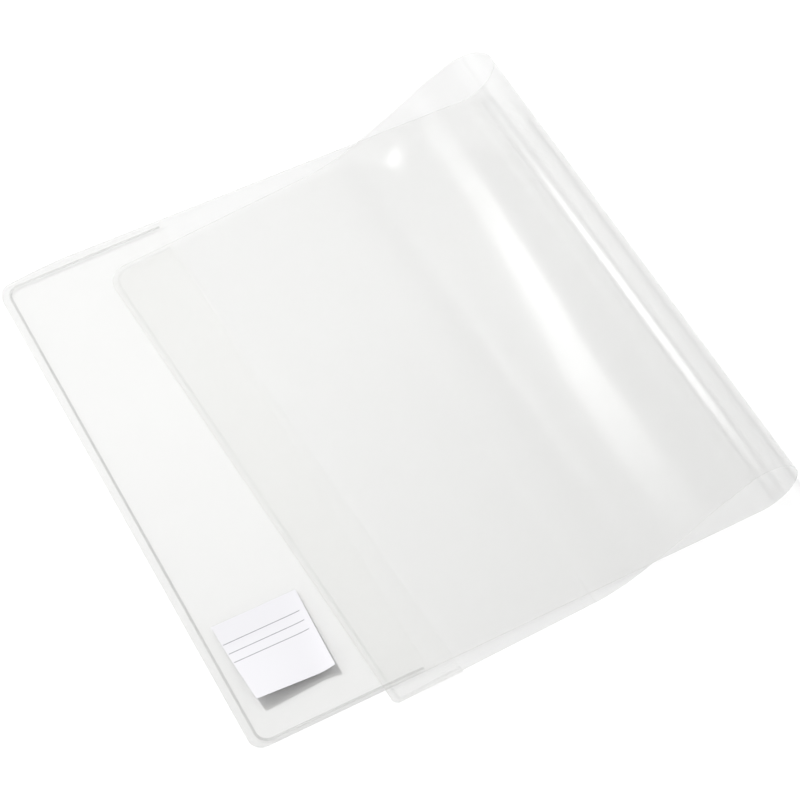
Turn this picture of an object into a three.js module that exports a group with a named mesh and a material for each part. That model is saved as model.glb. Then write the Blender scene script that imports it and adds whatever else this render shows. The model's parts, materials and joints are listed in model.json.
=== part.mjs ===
// A clear film book cover, shut and lying on its back leaf. Millimetres, +Z up.
//
// One sheet of clear film wraps a book from board to board. At each end of the sheet a narrow flap of the same film is
// welded along the head, the tail and the fore edge, and makes the pocket that a board slides into. Between the leaves
// the film has no crease: it rolls over in a soft loop, and comes down again in a long slope to lie on the back leaf.
// The rolled film is built as flat strips, each turned a little from the last about the line that they share.
// The roll leans a little from square, so the front leaf lies askew on the back one.
//
// Sheet coordinates: x runs from the back leaf's fore edge to the front leaf's, y from the tail to the head.
// Roll coordinates: u runs across the roll and v along it. Every film piece is drawn in them, flat, and then folded.

import * as THREE from 'three'

const degrees = THREE.MathUtils.degToRad

// The open sheet. With the roll below, these widths make it 540 mm wide.
const backLeafFlat = 269
const frontLeafFlat = 106.35
const sheetHeight = 285
const filmThickness = 0.15

// The roll: how far it leans, the radii of its loop and of the slope's foot, and its bends
const rollLean = degrees(1.6)
const lowerLoopRadius = 19
const upperLoopRadius = 21
const slopeFootRadius = 60
const lowerLoopBends = 4
const upperLoopBends = 4
const loopBendTurn = degrees(26)
const slopeFootBends = 2
const bendGap = 0.3

// The pockets: how wide each flap is, and how far its tail and head edges run beyond the sheet's own. On the front leaf
// they draw in instead.
const backPocketWidth = 90
const backMouthTailSpread = 0.8
const backMouthHeadSpread = 2.6
const backForeTailSpread = 2.4
const backForeHeadSpread = 2
const backBulgeAt = 32
const backBulgeSpread = 5.2
const backBulgeRadius = 160
const backCornerRadius = 7
const frontPocketWidth = 36
const frontMouthTailDraw = 0.9
const frontMouthHeadDraw = 2
const frontForeTailDraw = 2.2
const frontForeHeadDraw = 1.4
const frontHeadCornerRadius = 10
const frontTailCornerRadius = 3
const pocketGap = 0.3
const leafGap = 0.3

// The welds, each set in from the fore edge and from the sheet's tail and head
const weldWidth = 1.2
const backForeWeldInset = 4.4
const backTailWeldInset = 0.2
const backHeadWeldInset = 0.2
const backWeldRadius = 6
const frontForeWeldInset = 1.6
const frontTailWeldInset = 3.4
const frontHeadWeldInset = 3.2
const frontHeadWeldRadius = 8.4
const frontTailWeldRadius = 2.4
const sideWeldReach = 10
const weldRunGap = 0.3
const weldStop = 1.5

// The name label, stuck on the back pocket with its lower edge standing off
const labelWidth = 44
const labelHeight = 46
const labelThickness = 0.12
const labelFromForeEdge = 10.6
const labelFromTail = 18.8
const labelLift = 4.5
const labelFlatHeight = 27
const labelCurlSteps = 8
const adhesiveThickness = 0.1
const adhesiveMargin = 2

const arcSteps = 6

const film = new THREE.MeshStandardMaterial({ color: 0xeef1f0, roughness: 0.08, metalness: 0, transparent: true, opacity: 0.3 })
const weldedFilm = new THREE.MeshStandardMaterial({ color: 0xc9cdcc, roughness: 0.3, metalness: 0, transparent: true, opacity: 0.6 })
const labelPaper = new THREE.MeshStandardMaterial({ color: 0xf6f5f8, roughness: 0.6, metalness: 0 })
const adhesive = new THREE.MeshStandardMaterial({ color: 0xe8e6df, roughness: 0.5, metalness: 0 })

// A point of the sheet, in roll coordinates
function onRoll(x, y) {
  const cos = Math.cos(rollLean)
  const sin = Math.sin(rollLean)
  return new THREE.Vector2(x * cos + y * sin, y * cos - x * sin)
}

// The point at height y of the sheet on the line u = constant, along which the film bends
function onBendLine(u, y) {
  return new THREE.Vector2(u, y / Math.cos(rollLean) - u * Math.tan(rollLean))
}

// A closed outline through corners { at, radius }, with each corner that has a radius rounded to an arc
function outline(corners) {
  const points = []
  corners.forEach(({ at, radius = 0 }, i) => {
    if (radius === 0) {
      points.push(at)
      return
    }
    const back = corners.at(i - 1).at.clone().sub(at).normalize()
    const ahead = corners[(i + 1) % corners.length].at.clone().sub(at).normalize()
    const halfAngle = Math.acos(back.dot(ahead)) / 2
    const centre = back.clone().add(ahead).setLength(radius / Math.sin(halfAngle)).add(at)
    const first = back.clone().multiplyScalar(radius / Math.tan(halfAngle)).add(at).sub(centre)
    const last = ahead.clone().multiplyScalar(radius / Math.tan(halfAngle)).add(at).sub(centre)
    const sweep = Math.atan2(first.cross(last), first.dot(last))
    for (let step = 0; step <= arcSteps; step++) {
      points.push(first.clone().rotateAround(new THREE.Vector2(), (sweep * step) / arcSteps).add(centre))
    }
  })
  return new THREE.Shape(points)
}

// A flat sheet of the given outline, from height z up
function flatPiece(name, shape, z, thickness, material) {
  const geometry = new THREE.ExtrudeGeometry(shape, { depth: thickness, bevelEnabled: false })
  geometry.translate(0, 0, z)
  const piece = new THREE.Mesh(geometry, material)
  piece.name = name
  return piece
}

// The bends from the back leaf to the front one. A tangent is half the film that a bend takes up, flattened.
const slopeAngle = (lowerLoopBends + upperLoopBends) * loopBendTurn - Math.PI
const slopeFootTurn = slopeAngle / slopeFootBends
const bends = []
for (let i = 0; i < lowerLoopBends + upperLoopBends; i++) {
  const radius = i < lowerLoopBends ? lowerLoopRadius : upperLoopRadius
  bends.push({ turn: loopBendTurn, tangent: radius * Math.tan(loopBendTurn / 2) })
}
for (let i = 0; i < slopeFootBends; i++) {
  bends.push({ turn: -slopeFootTurn, tangent: slopeFootRadius * Math.tan(slopeFootTurn / 2) })
}

// The strips between the bends. The slope is as long as it takes to bring the front leaf down onto the back one.
const lastLoopBend = lowerLoopBends + upperLoopBends - 1
const strips = bends.slice(1).map((bend, i) => ({ width: bends[i].tangent + bend.tangent }))
const slope = strips[lastLoopBend]
strips.forEach((strip, i) => {
  if (i < lastLoopBend) strip.name = `spine_strip_${i + 1}`
  if (i === lastLoopBend) strip.name = 'front_slope_strip'
  if (i > lastLoopBend) strip.name = `front_foot_strip_${i - lastLoopBend}`
})
const frontLeafHeight = 3 * filmThickness + 2 * pocketGap + leafGap
let heading = 0
let heightLeft = -frontLeafHeight
strips.forEach((strip, i) => {
  heading += bends[i].turn
  if (strip !== slope) heightLeft += strip.width * Math.sin(heading)
})
slope.width = heightLeft / Math.sin(slopeAngle)

// Where each bend lies on the flat sheet, and the sheet's whole width
const bendPlaces = [backLeafFlat + bends[0].tangent]
for (const strip of strips) bendPlaces.push(bendPlaces.at(-1) + strip.width)
const rollEnd = bendPlaces.at(-1) + bends.at(-1).tangent
const sheetWidth = (rollEnd + frontLeafFlat) / Math.cos(rollLean)

// A leaf's end with its pocket: the panel, the flap on its inner face and the welds between them.
// bendAt is the bend where the panel begins and panelEdge its edge there. The corners run from the pocket's mouth at
// the tail, round the fore edge, to its mouth at the head; their places are given inward from the fore edge.
function addPocket(parent, end, { bendAt, panelEdge, foreEdge, inward, pocketWidth, corners, weld }) {
  const place = (dx, y) => onRoll(foreEdge + inward * dx, y).sub(new THREE.Vector2(bendAt, 0))
  const bendPoint = (y) => onBendLine(panelEdge, y).sub(new THREE.Vector2(bendAt, 0))
  const flapCorners = corners.map(([dx, y, radius]) => ({ at: place(dx, y), radius }))
  const panelCorners = [{ at: bendPoint(0) }, ...flapCorners, { at: bendPoint(sheetHeight) }]
  const panelTop = filmThickness / 2
  parent.add(flatPiece(`${end}_panel`, outline(panelCorners), -panelTop, filmThickness, film))
  const flapBottom = panelTop + pocketGap
  parent.add(flatPiece(`${end}_pocket_flap`, outline(flapCorners), flapBottom, filmThickness, film))

  const addWeld = (edge, weldCorners) => {
    parent.add(flatPiece(`${end}_pocket_${edge}_weld`, outline(weldCorners), panelTop, pocketGap, weldedFilm))
  }
  const half = weldWidth / 2
  const sideEnd = weld.fore + sideWeldReach
  const side = (offset) => [
    { at: place(sideEnd, weld.tail + offset) },
    { at: place(weld.fore + offset, weld.tail + offset), radius: weld.tailRadius - offset },
    { at: place(weld.fore + offset, weld.head - offset), radius: weld.headRadius - offset },
    { at: place(sideEnd, weld.head - offset) },
  ]
  addWeld('side', [...side(-half), ...side(half).reverse()])
  const runStart = sideEnd + weldRunGap
  const runEnd = pocketWidth - weldStop
  const run = (y) => [
    { at: place(runStart, y - half) },
    { at: place(runEnd, y - half) },
    { at: place(runEnd, y + half) },
    { at: place(runStart, y + half) },
  ]
  addWeld('tail', run(weld.tail))
  addWeld('head', run(weld.head))
}

// The label: flat where it sticks, then curling up towards its lower edge. The profile is drawn in (y, z).
function labelProfile() {
  const curled = labelHeight - labelFlatHeight
  const radius = (curled ** 2 + labelLift ** 2) / (2 * labelLift)
  const angle = Math.asin(curled / radius)
  const skin = (r) => {
    const points = []
    for (let step = 0; step <= labelCurlSteps; step++) {
      const turn = (angle * step) / labelCurlSteps
      points.push(new THREE.Vector2(curled - r * Math.sin(turn), radius - r * Math.cos(turn)))
    }
    return points
  }
  const under = skin(radius)
  const upper = skin(radius - labelThickness).reverse()
  return new THREE.Shape([new THREE.Vector2(labelHeight, 0), ...under, ...upper, new THREE.Vector2(labelHeight, labelThickness)])
}

function addLabel(parent) {
  const flapTop = filmThickness / 2 + pocketGap + filmThickness
  const square = new THREE.Group()
  square.rotation.z = -rollLean
  parent.add(square)

  const left = labelFromForeEdge + adhesiveMargin
  const right = labelFromForeEdge + labelWidth - adhesiveMargin
  const bottom = labelFromTail + labelHeight - labelFlatHeight + adhesiveMargin
  const top = labelFromTail + labelHeight - adhesiveMargin
  const pad = [[left, bottom], [right, bottom], [right, top], [left, top]]
  const padShape = new THREE.Shape(pad.map(([x, y]) => new THREE.Vector2(x, y)))
  square.add(flatPiece('label_adhesive', padShape, flapTop, adhesiveThickness, adhesive))

  const geometry = new THREE.ExtrudeGeometry(labelProfile(), { depth: labelWidth, bevelEnabled: false })
  geometry.rotateY(Math.PI / 2).rotateX(Math.PI / 2)
  const label = new THREE.Mesh(geometry, labelPaper)
  label.name = 'name_label'
  label.position.set(labelFromForeEdge, labelFromTail, flapTop + adhesiveThickness)
  square.add(label)
}

// The cover, folded from the back leaf on. Each strip hangs on the last, turned about the bend between them.
const cover = new THREE.Group()
cover.rotation.z = rollLean
addPocket(cover, 'back', {
  bendAt: 0,
  panelEdge: bendPlaces[0] - bendGap / 2,
  foreEdge: 0,
  inward: 1,
  pocketWidth: backPocketWidth,
  corners: [
    [backPocketWidth, -backMouthTailSpread],
    [0, -backForeTailSpread, backCornerRadius],
    [0, sheetHeight + backForeHeadSpread, backCornerRadius],
    [backBulgeAt, sheetHeight + backBulgeSpread, backBulgeRadius],
    [backPocketWidth, sheetHeight + backMouthHeadSpread],
  ],
  weld: {
    fore: backForeWeldInset,
    tail: backTailWeldInset,
    head: sheetHeight - backHeadWeldInset,
    tailRadius: backWeldRadius,
    headRadius: backWeldRadius,
  },
})
addLabel(cover)

let leaf = cover
let reached = 0
bends.forEach((bend, i) => {
  const hinge = new THREE.Group()
  hinge.name = `bend_${i + 1}`
  hinge.position.x = bendPlaces[i] - reached
  hinge.rotation.y = -bend.turn
  leaf.add(hinge)
  leaf = hinge
  reached = bendPlaces[i]
  if (i < strips.length) {
    const from = bendPlaces[i] + bendGap / 2
    const to = bendPlaces[i + 1] - bendGap / 2
    const corners = [[from, 0], [to, 0], [to, sheetHeight], [from, sheetHeight]]
    const shape = outline(corners.map(([u, y]) => ({ at: onBendLine(u, y).sub(new THREE.Vector2(reached, 0)) })))
    leaf.add(flatPiece(strips[i].name, shape, -filmThickness / 2, filmThickness, film))
  }
})
addPocket(leaf, 'front', {
  bendAt: reached,
  panelEdge: reached + bendGap / 2,
  foreEdge: sheetWidth,
  inward: -1,
  pocketWidth: frontPocketWidth,
  corners: [
    [frontPocketWidth, frontMouthTailDraw],
    [0, frontForeTailDraw, frontTailCornerRadius],
    [0, sheetHeight - frontForeHeadDraw, frontHeadCornerRadius],
    [frontPocketWidth, sheetHeight - frontMouthHeadDraw],
  ],
  weld: {
    fore: frontForeWeldInset,
    tail: frontTailWeldInset,
    head: sheetHeight - frontHeadWeldInset,
    tailRadius: frontTailWeldRadius,
    headRadius: frontHeadWeldRadius,
  },
})

// The origin is on the table, under the middle of the cover's box
cover.updateMatrixWorld(true)
const box = new THREE.Box3().setFromObject(cover, true)
cover.position.sub(new THREE.Vector3((box.min.x + box.max.x) / 2, (box.min.y + box.max.y) / 2, box.min.z))

const group = new THREE.Group()
group.add(cover)

export default group
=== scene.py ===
import json
import math

import bpy
from mathutils import Matrix, Vector


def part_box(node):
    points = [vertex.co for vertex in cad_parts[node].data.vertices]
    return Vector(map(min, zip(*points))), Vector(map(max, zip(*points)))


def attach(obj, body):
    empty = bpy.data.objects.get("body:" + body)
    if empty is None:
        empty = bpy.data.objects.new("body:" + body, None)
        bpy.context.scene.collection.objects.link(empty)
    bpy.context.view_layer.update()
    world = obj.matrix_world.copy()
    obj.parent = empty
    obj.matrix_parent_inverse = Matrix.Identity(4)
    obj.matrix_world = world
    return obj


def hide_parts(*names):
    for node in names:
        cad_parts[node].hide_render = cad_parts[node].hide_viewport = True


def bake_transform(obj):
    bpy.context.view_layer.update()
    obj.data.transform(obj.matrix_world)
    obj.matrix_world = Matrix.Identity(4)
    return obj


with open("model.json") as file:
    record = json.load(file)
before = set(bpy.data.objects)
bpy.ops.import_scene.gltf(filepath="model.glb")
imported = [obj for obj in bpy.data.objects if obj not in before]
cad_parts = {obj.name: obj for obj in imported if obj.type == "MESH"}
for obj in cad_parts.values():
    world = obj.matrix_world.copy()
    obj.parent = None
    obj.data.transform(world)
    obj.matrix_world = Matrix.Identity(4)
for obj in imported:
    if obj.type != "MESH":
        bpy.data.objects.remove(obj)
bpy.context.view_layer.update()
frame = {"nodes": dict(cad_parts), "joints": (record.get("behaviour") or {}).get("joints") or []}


# The back board's film: the near end of the one clear sheet, lying on the table. It is cut from rolled PVC
# film, so its face is very slightly uneven. Its cut edges are painted grey, a painted shade that shows
# them as thin grey lines.
MM = 0.001
FILM_THICKNESS = 0.15 * MM
CUT_BORDER = 0.5 * MM
SHEET_HEIGHT = 285 * MM
ROLL_LEAN = math.radians(1.6)
BACK_FORE_SPREAD = (2.4 * MM, 2.0 * MM)
BACK_BULGE_AT = 32 * MM
BACK_BULGE_SPREAD = 5.2 * MM
BACK_BULGE_CUT = 14 * MM
BACK_CORNER_RADIUS = 7 * MM
CORNER_STEPS = 10
SQUARE = 18 * MM
SQUARES = 8
JOIN_REACH = 12 * MM
GRAZING_REFLECTS = 0.45
GRAZING_POWER = 5
BLUE_PASSES = 0.999
SMOOTH_BELOW = math.radians(20)

bends = frame["joints"]
first_bend = Vector(bends[0]["pos_m"])
fore_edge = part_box("back_panel")[0].x
tail_edge = first_bend.y - (first_bend.x - fore_edge) * math.tan(ROLL_LEAN)
across_roll = Vector((math.cos(ROLL_LEAN), math.sin(ROLL_LEAN), 0))
along_roll = Vector((-math.sin(ROLL_LEAN), math.cos(ROLL_LEAN), 0))


class Wire:
    """An output of a shader node. Plain arithmetic on it adds Math nodes."""

    def __init__(self, tree, socket=None):
        self.tree = tree
        self.socket = socket

    def node(self, kind, settings, inputs, output=0):
        """Adds a node with its settings first, then the value or the wire of each input."""
        new = self.tree.nodes.new(kind)
        for name, value in settings.items():
            setattr(new, name, value)
        for name, value in inputs.items():
            if isinstance(value, Wire):
                self.tree.links.new(value.socket, new.inputs[name])
            else:
                new.inputs[name].default_value = value
        return Wire(self.tree, new.outputs[output] if new.outputs else None)

    def math(self, operation, first, second=0.0):
        return self.node("ShaderNodeMath", {"operation": operation}, {0: first, 1: second})

    def __add__(self, other):
        return self.math("ADD", self, other)

    def __sub__(self, other):
        return self.math("SUBTRACT", self, other)

    def __rsub__(self, other):
        return self.math("SUBTRACT", other, self)

    def __mul__(self, other):
        return self.math("MULTIPLY", self, other)

    def __pow__(self, other):
        return self.math("POWER", self, other)

    def __lt__(self, other):
        return self.math("LESS_THAN", self, other)

    def __gt__(self, other):
        return self.math("GREATER_THAN", self, other)

    __radd__ = __add__
    __rmul__ = __mul__


def new_material(name):
    material = bpy.data.materials.new(name)
    material.use_nodes = True
    material.node_tree.nodes.clear()
    return material, Wire(material.node_tree)


def film_material(name, passes, face_reflects, haze, roughness):
    """Clear film: a face mirrors a little light, more at a slant, scatters a little and passes the rest."""
    material, start = new_material(name)
    place = start.node("ShaderNodeTexCoord", {}, {}, output=3)
    swell = start.node("ShaderNodeTexNoise", {}, {"Vector": place, "Scale": 22.0, "Detail": 1.0})
    uneven = start.node("ShaderNodeBump", {}, {"Strength": 0.2, "Distance": 0.0004, "Height": swell})
    slant = start.node("ShaderNodeLayerWeight", {}, {"Blend": 0.5}, output=1)
    reflects = face_reflects + slant ** GRAZING_POWER * GRAZING_REFLECTS
    through = start.node("ShaderNodeBsdfTransparent", {}, {
        "Color": (passes, passes, passes * BLUE_PASSES, 1),
    })
    milk = start.node("ShaderNodeBsdfPrincipled", {}, {
        "Base Color": (0.9, 0.9, 0.89, 1), "Roughness": 0.7, "Specular IOR Level": 0.0,
    })
    shaded = start.node("ShaderNodeLightPath", {}, {}, output="Is Shadow Ray")
    body = start.node("ShaderNodeMixShader", {}, {0: (1 - shaded) * haze, 1: through, 2: milk})
    gloss = start.node("ShaderNodeBsdfPrincipled", {}, {
        "Base Color": (0.96, 0.97, 0.97, 1), "Metallic": 1.0, "Roughness": roughness, "Normal": uneven,
    })
    film = start.node("ShaderNodeMixShader", {}, {0: reflects, 1: body, 2: gloss})
    start.node("ShaderNodeOutputMaterial", {}, {"Surface": film})
    return material


def unseen_material(name):
    """Where one stretch of film runs on into the next there is nothing to see."""
    material, start = new_material(name)
    through = start.node("ShaderNodeBsdfPrincipled", {}, {"Base Color": (1, 1, 1, 1), "Alpha": 0.0})
    start.node("ShaderNodeOutputMaterial", {}, {"Surface": through})
    return material


def cut_material(name, grey, alpha):
    """A cut through the film: a thin matt face, painted grey as shade for the line along a clear edge."""
    material, start = new_material(name)
    face = start.node("ShaderNodeBsdfPrincipled", {}, {
        "Base Color": (grey, grey, grey, 1), "Roughness": 0.4, "Alpha": alpha,
    })
    start.node("ShaderNodeOutputMaterial", {}, {"Surface": face})
    return material


clear_film = film_material("clear_film", 0.986, 0.03, 0.06, 0.18)
film_border = film_material("film_border", 0.99, 0.04, 0.04, 0.3)
# The cuts' greys are painted shade: pale on the roll, darkest on the back leaf, mid grey on the front leaf
# and faint on the flaps.
cut_edge = cut_material("film_cut_edge", 0.8, 0.3)
back_cut_shade = cut_material("back_film_cut_shade", 0.3, 0.85)
front_cut_shade = cut_material("front_film_cut_shade", 0.5, 0.6)
flap_cut_edge = cut_material("flap_cut_edge", 0.9, 0.06)
film_join = unseen_material("film_join")


def roll_place(across, along, height):
    """A point given across and along the roll, in the row frame."""
    at = across_roll * across + along_roll * along
    return Vector((fore_edge + at.x, tail_edge + at.y, height))


def sheet_place(x, y, height):
    """A point of the flat back leaf, from its fore edge and its tail."""
    return Vector((fore_edge + x, tail_edge + y, height))


def all_round(at):
    """The test for a piece of film that joins no other: every side of it is a cut."""
    return True


def short_of_roll(corners):
    """The test for a leaf that runs on into the roll: a side is a cut unless it lies along their join."""
    return lambda at: at.x < corners[1].x - JOIN_REACH


def finish_film(film, name, body, nodes, cut=all_round, face=clear_film, border=film_border, rim=cut_edge):
    """Gives a skin of film its thickness and materials, and hangs it on its body. Cuts show, joins don't."""
    film.name = name
    for material in (face, border, rim, film_join):
        film.data.materials.append(material)
    thick = film.modifiers.new("thickness", "SOLIDIFY")
    thick.thickness = FILM_THICKNESS
    thick.offset = 0
    thick.use_even_offset = True
    thick.material_offset_rim = 2
    bpy.ops.object.modifier_apply(modifier=thick.name)
    for side in film.data.polygons:
        if side.material_index >= 2:
            side.material_index = 2 if cut(side.center) else 3
    bpy.ops.object.shade_smooth_by_angle(angle=SMOOTH_BELOW)
    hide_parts(*nodes)
    if body:
        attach(film, body)


def flat_leaf(corners, rounded, height, cut=all_round):
    """A flat skin of film through its corners, some of them rounded off. A border runs along its cuts."""
    bpy.ops.object.select_all(action="DESELECT")
    bpy.ops.mesh.primitive_plane_add(size=2)
    leaf = bpy.context.object
    bpy.ops.object.mode_set(mode="EDIT")
    bpy.ops.mesh.select_all(action="DESELECT")
    bpy.ops.object.mode_set(mode="OBJECT")
    if len(corners) > 4:
        for vertex in leaf.data.vertices:
            vertex.select = vertex.co.y > 0
        bpy.ops.object.mode_set(mode="EDIT")
        bpy.ops.mesh.select_mode(type="VERT")
        bpy.ops.mesh.subdivide()
        bpy.ops.object.mode_set(mode="OBJECT")
    starts = [(-1, -1), (1, -1), (1, 1), (-1, 1), (0, 1)]
    vertices = [
        min(leaf.data.vertices, key=lambda vertex: (vertex.co.xy - Vector(start)).length)
        for start in starts[:len(corners)]
    ]
    for vertex, corner in zip(vertices, corners):
        vertex.co = Vector((corner.x, corner.y, height))
    for corner, cut_back in rounded:
        bpy.ops.object.mode_set(mode="EDIT")
        bpy.ops.mesh.select_all(action="DESELECT")
        bpy.ops.object.mode_set(mode="OBJECT")
        nearest = min(leaf.data.vertices, key=lambda v: (v.co.xy - corner.xy).length)
        nearest.select = True
        bpy.ops.object.mode_set(mode="EDIT")
        bpy.ops.mesh.bevel(
            offset=cut_back, offset_pct=0, segments=CORNER_STEPS, profile=0.5, affect="VERTICES",
        )
        bpy.ops.object.mode_set(mode="OBJECT")
    bpy.ops.object.mode_set(mode="EDIT")
    bpy.ops.mesh.select_all(action="SELECT")
    bpy.ops.mesh.inset(thickness=CUT_BORDER, depth=0)
    bpy.ops.object.mode_set(mode="OBJECT")
    for face in leaf.data.polygons:
        face.material_index = 0 if face.select or not cut(face.center) else 1
    bpy.ops.object.mode_set(mode="EDIT")
    middle = sum(corners, Vector()) / len(corners)
    middle.z = height
    for axis in (Vector((1, 0, 0)), Vector((0, 1, 0))):
        for line in range(-SQUARES, SQUARES + 1):
            bpy.ops.mesh.select_all(action="SELECT")
            bpy.ops.mesh.bisect(plane_co=middle + axis * SQUARE * line, plane_no=axis)
    bpy.ops.object.mode_set(mode="OBJECT")
    return leaf


def back_corners(head_end, tail_end):
    """The back pocket's outline: tail edge, fore edge and the head edge with its bulge."""
    return [
        sheet_place(0, -BACK_FORE_SPREAD[0], 0), tail_end, head_end,
        sheet_place(0, SHEET_HEIGHT + BACK_FORE_SPREAD[1], 0),
        sheet_place(BACK_BULGE_AT, SHEET_HEIGHT + BACK_BULGE_SPREAD, 0),
    ]


def fold_place(joint):
    """Where a bend lies across the roll, and its height."""
    at = Vector(joint["pos_m"]) - Vector((fore_edge, tail_edge, 0))
    return Vector((at.dot(across_roll), at.z))


# Every bend is a round arc that begins and ends at the middle of the strips beside it.
LOOP_TURN = math.radians(26)
FOOT_TURN = math.radians(-14)
LOWER_RADIUS = 19 * MM
UPPER_RADIUS = 21 * MM
FOOT_RADIUS = 60 * MM
back_end = fold_place(bends[0]).x - LOWER_RADIUS * math.tan(LOOP_TURN / 2)


def roll_edge(across, y):
    """How far along the roll a point of the sheet lies, from its place across the roll and its height y."""
    return y / math.cos(ROLL_LEAN) - across * math.tan(ROLL_LEAN)


corners = back_corners(
    roll_place(back_end, roll_edge(back_end, SHEET_HEIGHT), 0),
    roll_place(back_end, roll_edge(back_end, 0), 0),
)
back_film = flat_leaf(
    corners,
    [(corners[0], BACK_CORNER_RADIUS), (corners[3], BACK_CORNER_RADIUS), (corners[4], BACK_BULGE_CUT)],
    first_bend.z,
    cut=short_of_roll(corners),
)
finish_film(
    back_film, "back_board_film", "back_leaf", ["back_panel"], cut=short_of_roll(corners), rim=back_cut_shade,
)


# The back pocket's flap: a narrow piece of the same film, laid on the panel and welded to it round three
# sides. Its fourth side is the open mouth that the board slides into. It clings to the panel, so it hardly
# mirrors or scatters any light of its own.
BACK_POCKET_WIDTH = 90 * MM
BACK_MOUTH_SPREAD = (0.8 * MM, 2.6 * MM)

clinging_film = film_material("clinging_film", 1.0, 0.003, 0.01, 0.18)
flap_corners = back_corners(
    sheet_place(BACK_POCKET_WIDTH, SHEET_HEIGHT + BACK_MOUTH_SPREAD[1], 0),
    sheet_place(BACK_POCKET_WIDTH, -BACK_MOUTH_SPREAD[0], 0),
)
flap_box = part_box("back_pocket_flap")
back_flap = flat_leaf(
    flap_corners,
    [
        (flap_corners[0], BACK_CORNER_RADIUS), (flap_corners[3], BACK_CORNER_RADIUS),
        (flap_corners[4], BACK_BULGE_CUT),
    ],
    (flap_box[0].z + flap_box[1].z) / 2,
)
finish_film(
    back_flap, "back_pocket_film", "back_leaf", ["back_pocket_flap"],
    face=clinging_film, border=clinging_film, rim=flap_cut_edge,
)


# The welds: lines pressed hot through panel and flap, where the two films are one. They are a little milky,
# so that they show as thin grey lines just inside the cut edges.
for end, passes in (("back", 0.9), ("front", 0.985)):
    weld_film = film_material(f"{end}_weld_line", passes, 0.05, 0.02, 0.25)
    for edge in ("side", "tail", "head"):
        weld = frame["nodes"][f"{end}_pocket_{edge}_weld"]
        weld.data.materials.clear()
        weld.data.materials.append(weld_film)


# The name label: a stiff paper sticker on the back pocket, printed with three writing rules. It is stuck down
# by its upper part alone. Its lower edge has curled up off the film, most at the corner by the fore edge.
LABEL_SIZE = (44 * MM, 46 * MM)
LABEL_PLACE = (10.6 * MM, 18.8 * MM)
LABEL_THICKNESS = 0.12 * MM
LABEL_CURL = 33 * MM
LABEL_LIFT = (4.5 * MM, 0.75 * MM)
LABEL_CORNER_LIFT = 2.6 * MM
LABEL_CORNER_FROM = 0.75
LABEL_CURL_POWER = 1.3
LABEL_DRAWN_IN = 0.1
LABEL_DRAW = (1.5 * MM, 2.3 * MM)
LABEL_WHITE = (0.82, 0.814, 0.842, 1)
RULE_INK = (0.2, 0.2, 0.23, 1)
RULE_HEIGHTS = (23.8, 29.2, 34.8)
RULE_WIDTH = 0.32
RULE_ENDS = (0.6, 41.0)
LABEL_STEPS = 44
LABEL_SMOOTH_BELOW = math.radians(30)

adhesive, start = new_material("contact_adhesive")
glue = start.node("ShaderNodeBsdfPrincipled", {}, {"Base Color": (0.86, 0.855, 0.83, 1), "Roughness": 0.45})
start.node("ShaderNodeOutputMaterial", {}, {"Surface": glue})
pad = frame["nodes"]["label_adhesive"]
pad.data.materials.clear()
pad.data.materials.append(adhesive)


def paper_material(name, printed):
    """White label paper with a fine grain. The printed face has the writing rules on it."""
    material, start = new_material(name)
    paper = start.node("ShaderNodeRGB", {}, {})
    paper.socket.default_value = LABEL_WHITE
    grain_at = start.node("ShaderNodeTexCoord", {}, {}, output=3)
    grain = start.node("ShaderNodeTexNoise", {}, {"Vector": grain_at, "Scale": 900.0, "Detail": 3.0})
    rough = start.node("ShaderNodeBump", {}, {"Strength": 0.15, "Distance": 0.00005, "Height": grain})
    colour = paper
    if printed:
        at = start.node("ShaderNodeUVMap", {"uv_map": "UVMap"}, {})
        across = start.node("ShaderNodeSeparateXYZ", {}, {0: at}, output=0) * (LABEL_SIZE[0] / MM)
        up = start.node("ShaderNodeSeparateXYZ", {}, {0: at}, output=1) * (LABEL_SIZE[1] / MM)
        ink = (across > RULE_ENDS[0]) * (across < RULE_ENDS[1])
        lines = 0.0
        for height in RULE_HEIGHTS:
            off = start.math("ABSOLUTE", up - height)
            lines = (off < RULE_WIDTH / 2) + lines
        colour = start.node(
            "ShaderNodeMix", {"data_type": "RGBA"}, {0: ink * lines, 6: paper, 7: RULE_INK}, output=2
        )
    sheet = start.node("ShaderNodeBsdfPrincipled", {}, {
        "Base Color": colour, "Roughness": 0.5, "Normal": rough,
    })
    start.node("ShaderNodeOutputMaterial", {}, {"Surface": sheet})
    return material


label_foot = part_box("name_label")[0].z + LABEL_THICKNESS / 2
bpy.ops.object.select_all(action="DESELECT")
bpy.ops.mesh.primitive_grid_add(x_subdivisions=LABEL_STEPS, y_subdivisions=LABEL_STEPS, size=2)
label = bpy.context.object
label.name = "paper_label"
for vertex in label.data.vertices:
    x = (vertex.co.x + 1) / 2
    y = (vertex.co.y + 1) / 2 * LABEL_SIZE[1]
    curled = max(0.0, 1 - y / LABEL_CURL)
    lift = (LABEL_LIFT[0] * (1 - x) + LABEL_LIFT[1] * x) * curled ** LABEL_CURL_POWER
    in_corner = max(0.0, (x - LABEL_CORNER_FROM) / (1 - LABEL_CORNER_FROM))
    lift += LABEL_CORNER_LIFT * in_corner ** 2 * (1 - y / LABEL_SIZE[1])
    drawn_in = LABEL_DRAWN_IN * lift * curled
    sideways = (LABEL_DRAW[0] * (1 - x) - LABEL_DRAW[1] * x) * (1 - y / LABEL_SIZE[1])
    vertex.co = sheet_place(
        LABEL_PLACE[0] + x * LABEL_SIZE[0] + sideways, LABEL_PLACE[1] + y + drawn_in, label_foot + lift
    )
label.data.materials.append(paper_material("label_paper_printed", True))
label.data.materials.append(paper_material("label_paper_plain", False))
thick = label.modifiers.new("thickness", "SOLIDIFY")
thick.thickness = LABEL_THICKNESS
thick.offset = 0
thick.material_offset = 1
thick.material_offset_rim = 1
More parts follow.
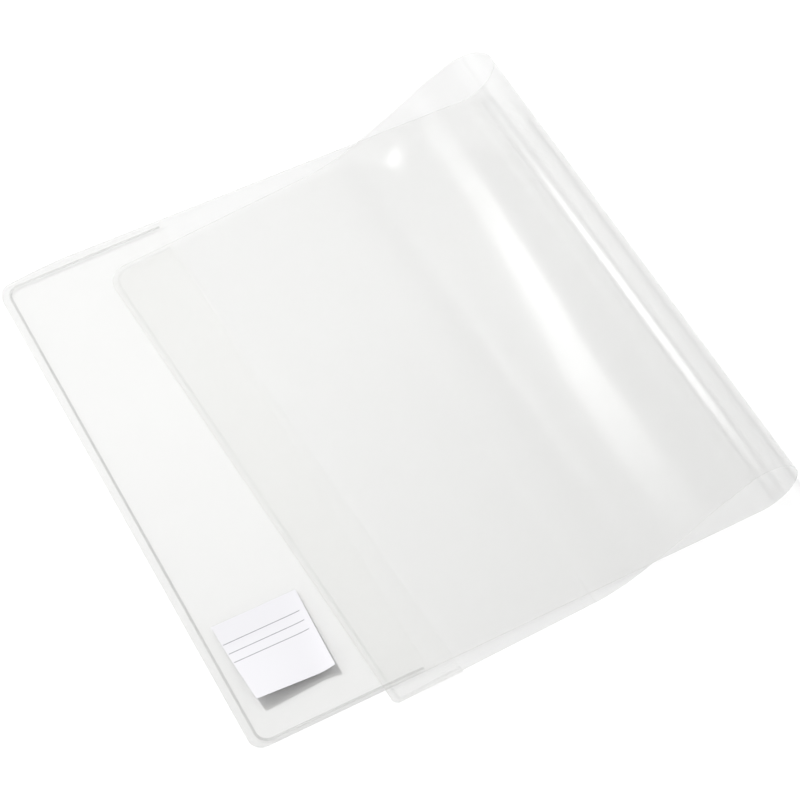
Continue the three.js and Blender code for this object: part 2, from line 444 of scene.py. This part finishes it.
bpy.ops.object.modifier_apply(modifier=thick.name)
bpy.ops.object.shade_smooth_by_angle(angle=LABEL_SMOOTH_BELOW)
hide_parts("name_label")
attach(label, "back_leaf")


# The spine loop: the sheet's unbroken middle, which rolls over from the back leaf in a soft loop. It takes
# its bends evenly, so it is the side of a smooth tube. The model has a stretch of film for each bend.
LOOP_BENDS = 8
LOWER_BENDS = 4
STREAK_BOOST_BEND = 1
ARC_STEPS = 24
ALONG_STEPS = 90
END_LOOP = 0.004
EDGE_REACH = 0.3 * MM
BLEND_ENDS = (0.006, 0.994)


def bent_film(profile, flat_from, flat_to, steps):
    """A skin of film between two lines across the flat sheet, bent to a profile of (across, height)."""
    bpy.ops.object.select_all(action="DESELECT")
    bpy.ops.mesh.primitive_grid_add(x_subdivisions=steps, y_subdivisions=ALONG_STEPS, size=2)
    film = bpy.context.object
    for vertex in film.data.vertices:
        share = round((vertex.co.x + 1) / 2 * steps)
        share = {0: 0, 1: END_LOOP, steps - 1: 1 - END_LOOP, steps: 1}.get(share, share / steps)
        row = round((vertex.co.y + 1) / 2 * ALONG_STEPS)
        inner = CUT_BORDER + (SHEET_HEIGHT - 2 * CUT_BORDER) * (row - 1) / (ALONG_STEPS - 2)
        y = {0: 0, ALONG_STEPS: SHEET_HEIGHT}.get(row, inner)
        flat = flat_from + (flat_to - flat_from) * share
        across, height = profile(share, y)
        vertex.co = roll_place(across, roll_edge(flat, y), height)
    for face in film.data.polygons:
        at_tail = min(face.vertices) <= steps
        at_head = max(face.vertices) >= (steps + 1) * ALONG_STEPS
        face.material_index = int(at_tail or at_head)
    return film


def arc_profile(fold, heading, radius, turn):
    """A round arc whose two tangents cross at the fold."""
    reach = radius * math.tan(abs(turn) / 2)
    first = fold - Vector((math.cos(heading), math.sin(heading))) * reach
    side = math.copysign(1, turn)
    centre = first + Vector((-math.sin(heading), math.cos(heading))) * radius * side

    def profile(share, y=0.0):
        at = heading + turn * share
        return centre - Vector((-math.sin(at), math.cos(at))) * radius * side

    return profile


def blend_bend(film, profile):
    """Bakes a bend's skin into its place. It works out the points at the two blend ends, which are not used.
    """
    for share in BLEND_ENDS:
        across, height = profile(share)
        roll_place(across, SHEET_HEIGHT / 2, height)
    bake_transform(film)


# One stretch low in the loop reflects more than the rest of the same film, a boosted highlight. It mirrors
# the soft box as a brighter thin line.
streak_boost_film = film_material("streak_boost_film", 0.986, 0.065, 0.04, 0.15)
flat = back_end
heading = 0.0
stretch_ends = []
for i, joint in enumerate(bends):
    loop = i < LOOP_BENDS
    turn = LOOP_TURN if loop else FOOT_TURN
    radius = FOOT_RADIUS if not loop else LOWER_RADIUS if i < LOWER_BENDS else UPPER_RADIUS
    profile = arc_profile(fold_place(joint), heading, radius, turn)
    length = abs(turn) * radius
    stretch_ends.append((flat, flat + length, heading, profile(1)))
    if loop:
        film = bent_film(profile, flat, flat + length, ARC_STEPS)
        mid_across = (profile(0).x + profile(1).x) / 2
        head = roll_place(mid_across, roll_edge(flat + length / 2, SHEET_HEIGHT), 0)
        tail = roll_place(mid_across, roll_edge(flat + length / 2, 0), 0)
        low = tail.dot(along_roll) + EDGE_REACH
        high = head.dot(along_roll) - EDGE_REACH
        finish_film(
            film, f"spine_film_{i + 1}", None, [f"spine_strip_{i + 1}"] if i < LOOP_BENDS - 1 else [],
            cut=lambda at: not low < at.dot(along_roll) < high,
            face=streak_boost_film if i == STREAK_BOOST_BEND else clear_film,
        )
        blend_bend(film, profile)
    flat += length
    heading += turn
    if i == LOOP_BENDS - 1:
        slope_top = profile(1)
        slope_flat = flat
        slope_heading = heading
        foot_reach = FOOT_RADIUS * math.tan(abs(FOOT_TURN) / 2)
        foot_top = fold_place(bends[i + 1]) - Vector((math.cos(heading), math.sin(heading))) * foot_reach
        slope_length = (foot_top - slope_top).length
        flat += slope_length


# The slope: the film runs down from the loop to the back leaf, straight but for one slow wave, where the film
# still holds the curl that it had on its roll.
SLOPE_WAVE = math.radians(1.25)
SLOPE_SAG = math.radians(1.2)
SLOPE_STEPS = 60
WAVE_DRIFT = 0.18
DRIFT_FROM = 95 * MM
DRIFT_OVER = 670 * MM
BUCKLE_AT = (0.642, 268 * MM)
BUCKLE_RADIUS = 18 * MM
BUCKLE_HEIGHT = 1.55 * MM
ENDS_FROM = 130 * MM


def slope_profile(share, y):
    """The slope's wave in section. It drifts sideways towards the head, so that its streak of light leans."""
    along = Vector((math.cos(slope_heading), math.sin(slope_heading)))
    inward = Vector((-along.y, along.x))
    drift = min(WAVE_DRIFT, max(0.0, (y - DRIFT_FROM) / DRIFT_OVER))
    at = share + drift * math.sin(math.pi * share) ** 2
    wave = slope_length * SLOPE_WAVE / math.pi * (math.cos(3 * math.pi * at) - math.cos(math.pi * at))
    wave += slope_length * SLOPE_SAG / (2 * math.pi) * (math.cos(2 * math.pi * at) - 1)
    return slope_top + along * slope_length * share + inward * wave


slope = bent_film(slope_profile, slope_flat, slope_flat + slope_length, SLOPE_STEPS)
buckle_flat = slope_flat + slope_length * BUCKLE_AT[0]
across, height = slope_profile(*BUCKLE_AT)
buckle = roll_place(across, roll_edge(buckle_flat, BUCKLE_AT[1]), height)
for vertex in slope.data.vertices:
    off = (vertex.co - buckle).length / BUCKLE_RADIUS
    if off < 1:
        vertex.co.z += BUCKLE_HEIGHT * (1 - off ** 2) ** 2


def near_ends(at):
    """The test for a stretch with a join on both sides: its cuts are its head and tail edges."""
    return abs(at.dot(along_roll)) > ENDS_FROM


finish_film(slope, "slope_film", "front_slope", ["front_slope_strip"], cut=near_ends)


# The slope's foot: the film flattens out again in a long hollow, and lies down on the back leaf. It is made
# like the loop, of one skin for each of its two bends.
for i in (LOOP_BENDS, LOOP_BENDS + 1):
    first_flat, last_flat, heading_in = stretch_ends[i][:3]
    profile = arc_profile(fold_place(bends[i]), heading_in, FOOT_RADIUS, FOOT_TURN)
    film = bent_film(profile, first_flat, last_flat, ARC_STEPS)
    finish_film(
        film, f"foot_film_{i - LOOP_BENDS + 1}", None, ["front_foot_strip_1"] if i == LOOP_BENDS else [],
        cut=near_ends,
    )
    blend_bend(film, profile)


# The front board's film: the sheet's other end, lying face down on the back leaf. It lies askew by the roll's
# lean, so its tail corner sticks out past the back leaf.
FRONT_FORE_DRAW = (2.2 * MM, 1.4 * MM)
FRONT_MOUTH_DRAW = (0.9 * MM, 2.0 * MM)
FRONT_POCKET_WIDTH = 36 * MM
FRONT_HEAD_RADIUS = 10 * MM
FRONT_TAIL_RADIUS = 3 * MM
SHEET_WIDTH = 540 * MM

roll_end = stretch_ends[-1][1]
front_foot = stretch_ends[-1][3]


def front_place(x, y, height):
    """A point of the front leaf, from the open sheet's own corner. The leaf lies turned over."""
    across = x * math.cos(ROLL_LEAN) + y * math.sin(ROLL_LEAN)
    along = y * math.cos(ROLL_LEAN) - x * math.sin(ROLL_LEAN)
    return roll_place(front_foot.x - (across - roll_end), along, height)


def front_corners(head_end, tail_end):
    """The front leaf's outline, in the same order as the back's. It has no bulge."""
    return [
        front_place(SHEET_WIDTH, FRONT_FORE_DRAW[0], 0), tail_end, head_end,
        front_place(SHEET_WIDTH, SHEET_HEIGHT - FRONT_FORE_DRAW[1], 0),
    ]


def front_leaf(corners, level, cut=all_round):
    """A flat skin of film with the front board's two rounded corners."""
    return flat_leaf(corners, [(corners[0], FRONT_TAIL_RADIUS), (corners[3], FRONT_HEAD_RADIUS)], level, cut)


corners = front_corners(
    roll_place(front_foot.x, roll_edge(roll_end, SHEET_HEIGHT), 0),
    roll_place(front_foot.x, roll_edge(roll_end, 0), 0),
)
front_film = front_leaf(corners, front_foot.y, cut=short_of_roll(corners))
finish_film(
    front_film, "front_board_film", "front_leaf", ["front_panel"],
    cut=short_of_roll(corners), rim=front_cut_shade,
)


# The front pocket's flap: a strip of the same film, welded under the panel round three sides as the back one
# is. It is much narrower, and the book's other board slides into it.
mouth = SHEET_WIDTH - FRONT_POCKET_WIDTH
flap_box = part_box("front_pocket_flap")
flap_corners = front_corners(
    front_place(mouth, SHEET_HEIGHT - FRONT_MOUTH_DRAW[1], 0), front_place(mouth, FRONT_MOUTH_DRAW[0], 0),
)
front_flap = front_leaf(flap_corners, (flap_box[0].z + flap_box[1].z) / 2)
finish_film(
    front_flap, "front_pocket_film", "front_leaf", ["front_pocket_flap"],
    face=clinging_film, border=clinging_film, rim=flap_cut_edge,
)


# The studio: a white table, a key lamp from the head side that gives the label its shadow, and soft boxes
# that the rolled film mirrors as streaks. The table's colour is painted darker towards the tail, as painted
# shade for light that falls off there. It lies a little low, because the sheet keeps some ripples when it is
# opened out.
TABLE_SIZE = 16
TABLE_WHITE = 0.86
TABLE_TAIL_SHADE = 0.795
TABLE_SHADE_FADES = (-155 * MM, 50 * MM)
TABLE_DOWN = 1.0 * MM
TABLE_GLOW = 0.2
TABLE_UNDER_FILM = 0.03
HORIZON = (0.06, 0.45)
ROOM_LIGHT = 0.6
CEILING_BRIGHT = 0.8
CEILING_DARK = 0.05
CEILING_LEFT = (-0.35, -0.05)
CEILING_FALL = 0.6
CEILING_FALLS = (0.15, 0.3)
CEILING_RISE = 1.4
CEILING_RISES = (0.35, 0.5)
CEILING_TAIL = 0.05
CEILING_FADES = (0.38, 0.52)
PANEL_AT = 0.225
PANEL_EDGE = (0.01, 0.06)
PANEL_BRIGHT = 0.8
KEY_FROM = Vector((-0.27, 0.586, 0.764))
KEY_POWER = 1.9
KEY_WIDTH = math.radians(3)
BOX_FROM = Vector((-0.66, 0.437, 0.597))
BOX_AWAY = 1.5
BOX_SIZE = (0.52, 0.225)
BOX_POWER = 1.24
SPILL_FROM = Vector((-0.63, 0.48, 0.61))
SPILL_AWAY = 1.515
SPILL_SIZE = (0.8, 0.4)
SPILL_POWER = 0.6
PATCH_FROM = Vector((-0.62, 0.51, 0.597))
PATCH_SIZE = (0.3, 0.08)
PATCH_POWER = 0.45


def ramp(wire, between, low, high):
    """Runs evenly from the low value to the high one while the wire's own value goes between two others."""
    return wire.node("ShaderNodeMapRange", {"clamp": True}, {
        "Value": wire, "From Min": between[0], "From Max": between[1], "To Min": low, "To Max": high,
    })


bpy.ops.object.select_all(action="DESELECT")
bpy.ops.mesh.primitive_plane_add(size=TABLE_SIZE, location=(0, 0, -TABLE_DOWN))
table = bpy.context.object
table.name = "white_table"
white, start = new_material("table_white")
seen = start.node("ShaderNodeLightPath", {}, {}, output="Is Camera Ray")
mirrored = start.node("ShaderNodeLightPath", {}, {}, output="Is Glossy Ray")
passed = start.node("ShaderNodeLightPath", {}, {}, output="Is Transmission Ray")
# Bare of film, the table glows enough to show pure white. Under film it shows its base colour and painted
# shade.
bare = start.node("ShaderNodeLightPath", {}, {}, output="Transparent Depth") < 0.5
glow = (seen + mirrored + passed) * (bare * (TABLE_GLOW - TABLE_UNDER_FILM) + TABLE_UNDER_FILM)
# The base colour is painted darker towards the tail: painted shade for light that falls off that way.
place = start.node("ShaderNodeTexCoord", {}, {}, output=3)
along = start.node("ShaderNodeSeparateXYZ", {}, {0: place}, output=1)
card = start.node("ShaderNodeBsdfPrincipled", {}, {
    "Base Color": ramp(along, TABLE_SHADE_FADES, TABLE_TAIL_SHADE, TABLE_WHITE), "Roughness": 0.9,
    "Specular IOR Level": 0.0, "Emission Color": glow, "Emission Strength": 1.0,
})
start.node("ShaderNodeOutputMaterial", {}, {"Surface": card})
table.data.materials.append(white)

world = bpy.data.worlds.new("studio")
bpy.context.scene.world = world
world.use_nodes = True
world.node_tree.nodes.clear()
start = Wire(world.node_tree)
ray = start.node("ShaderNodeTexCoord", {}, {}, output=0)
up = start.node("ShaderNodeSeparateXYZ", {}, {0: ray}, output=2)
right = start.node("ShaderNodeSeparateXYZ", {}, {0: ray}, output=0)
ahead = start.node("ShaderNodeSeparateXYZ", {}, {0: ray}, output=1)
left_side = ramp(right, CEILING_LEFT, CEILING_DARK, CEILING_BRIGHT)
right_side = ramp(right, CEILING_FALLS, 1.0, CEILING_FALL)
far_right = ramp(right, CEILING_RISES, 0.0, CEILING_RISE)
panel = ramp(start.math("ABSOLUTE", right - PANEL_AT), PANEL_EDGE, PANEL_BRIGHT, 0.0)
tail_side = ramp(ahead, CEILING_FADES, CEILING_TAIL, 1.0)
ceiling = left_side * (right_side + far_right) * tail_side + panel
horizon = ramp(up, HORIZON, 1.0, 0.0)
glow = horizon + (1 - horizon) * ceiling
seen = start.node("ShaderNodeLightPath", {}, {}, output="Is Camera Ray")
mirrored = start.node("ShaderNodeLightPath", {}, {}, output="Is Glossy Ray")
room = seen + (1 - seen) * (mirrored * (glow - ROOM_LIGHT) + ROOM_LIGHT)
walls = start.node("ShaderNodeBackground", {}, {"Color": (1, 1, 1, 1), "Strength": room})
start.node("ShaderNodeOutputWorld", {}, {"Surface": walls})


def lamp_at(name, kind, direction, away, power, size=None):
    """A lamp turned to the cover, with its long side across the streak that the roll draws of it."""
    data = bpy.data.lights.new(name, kind)
    data.energy = power
    if size:
        data.shape = "RECTANGLE"
        data.size, data.size_y = size
    lamp = bpy.data.objects.new(name, data)
    bpy.context.scene.collection.objects.link(lamp)
    towards = direction.normalized()
    across = along_roll.cross(towards).normalized()
    lamp.location = towards * away
    lamp.rotation_euler = Matrix((across, towards.cross(across), towards)).transposed().to_euler()
    return lamp


key = lamp_at("key_lamp", "SUN", KEY_FROM, BOX_AWAY, KEY_POWER)
key.data.angle = KEY_WIDTH
key.visible_glossy = False
# The soft box makes the bright streaks, its rim their dim borders, and the small box the patch near the head.
lamp_at("soft_box", "AREA", BOX_FROM, BOX_AWAY, BOX_POWER, BOX_SIZE)
lamp_at("soft_box_rim", "AREA", SPILL_FROM, SPILL_AWAY, SPILL_POWER, SPILL_SIZE)
lamp_at("small_box", "AREA", PATCH_FROM, BOX_AWAY, PATCH_POWER, PATCH_SIZE)


# The camera: where the photograph was taken from, well above the tail and the fore edge. Light passes through
# many layers of film where the leaves and flaps lie over one another, so the render lets it through them all.
LAYERS_PASSED = 64
CAMERA_AZIMUTH = math.radians(-27.752)
CAMERA_ELEVATION = math.radians(56.862)
CAMERA_AWAY = 1.55928
CAMERA_AIM = Vector((0.003255, -0.003377, 0.000075))
CAMERA_LENS = 144.04

towards_camera = Vector((
    math.sin(CAMERA_AZIMUTH) * math.cos(CAMERA_ELEVATION),
    -math.cos(CAMERA_AZIMUTH) * math.cos(CAMERA_ELEVATION),
    math.sin(CAMERA_ELEVATION),
))
camera_data = bpy.data.cameras.new("camera")
camera_data.lens = CAMERA_LENS
camera_data.sensor_width = 36
camera = bpy.data.objects.new("camera", camera_data)
bpy.context.scene.collection.objects.link(camera)
camera.location = CAMERA_AIM + towards_camera * CAMERA_AWAY
camera.rotation_euler = towards_camera.to_track_quat("Z", "Y").to_euler()
bpy.context.scene.camera = camera
bpy.context.scene.view_settings.view_transform = "Standard"
bpy.context.scene.cycles.transparent_max_bounces = LAYERS_PASSED
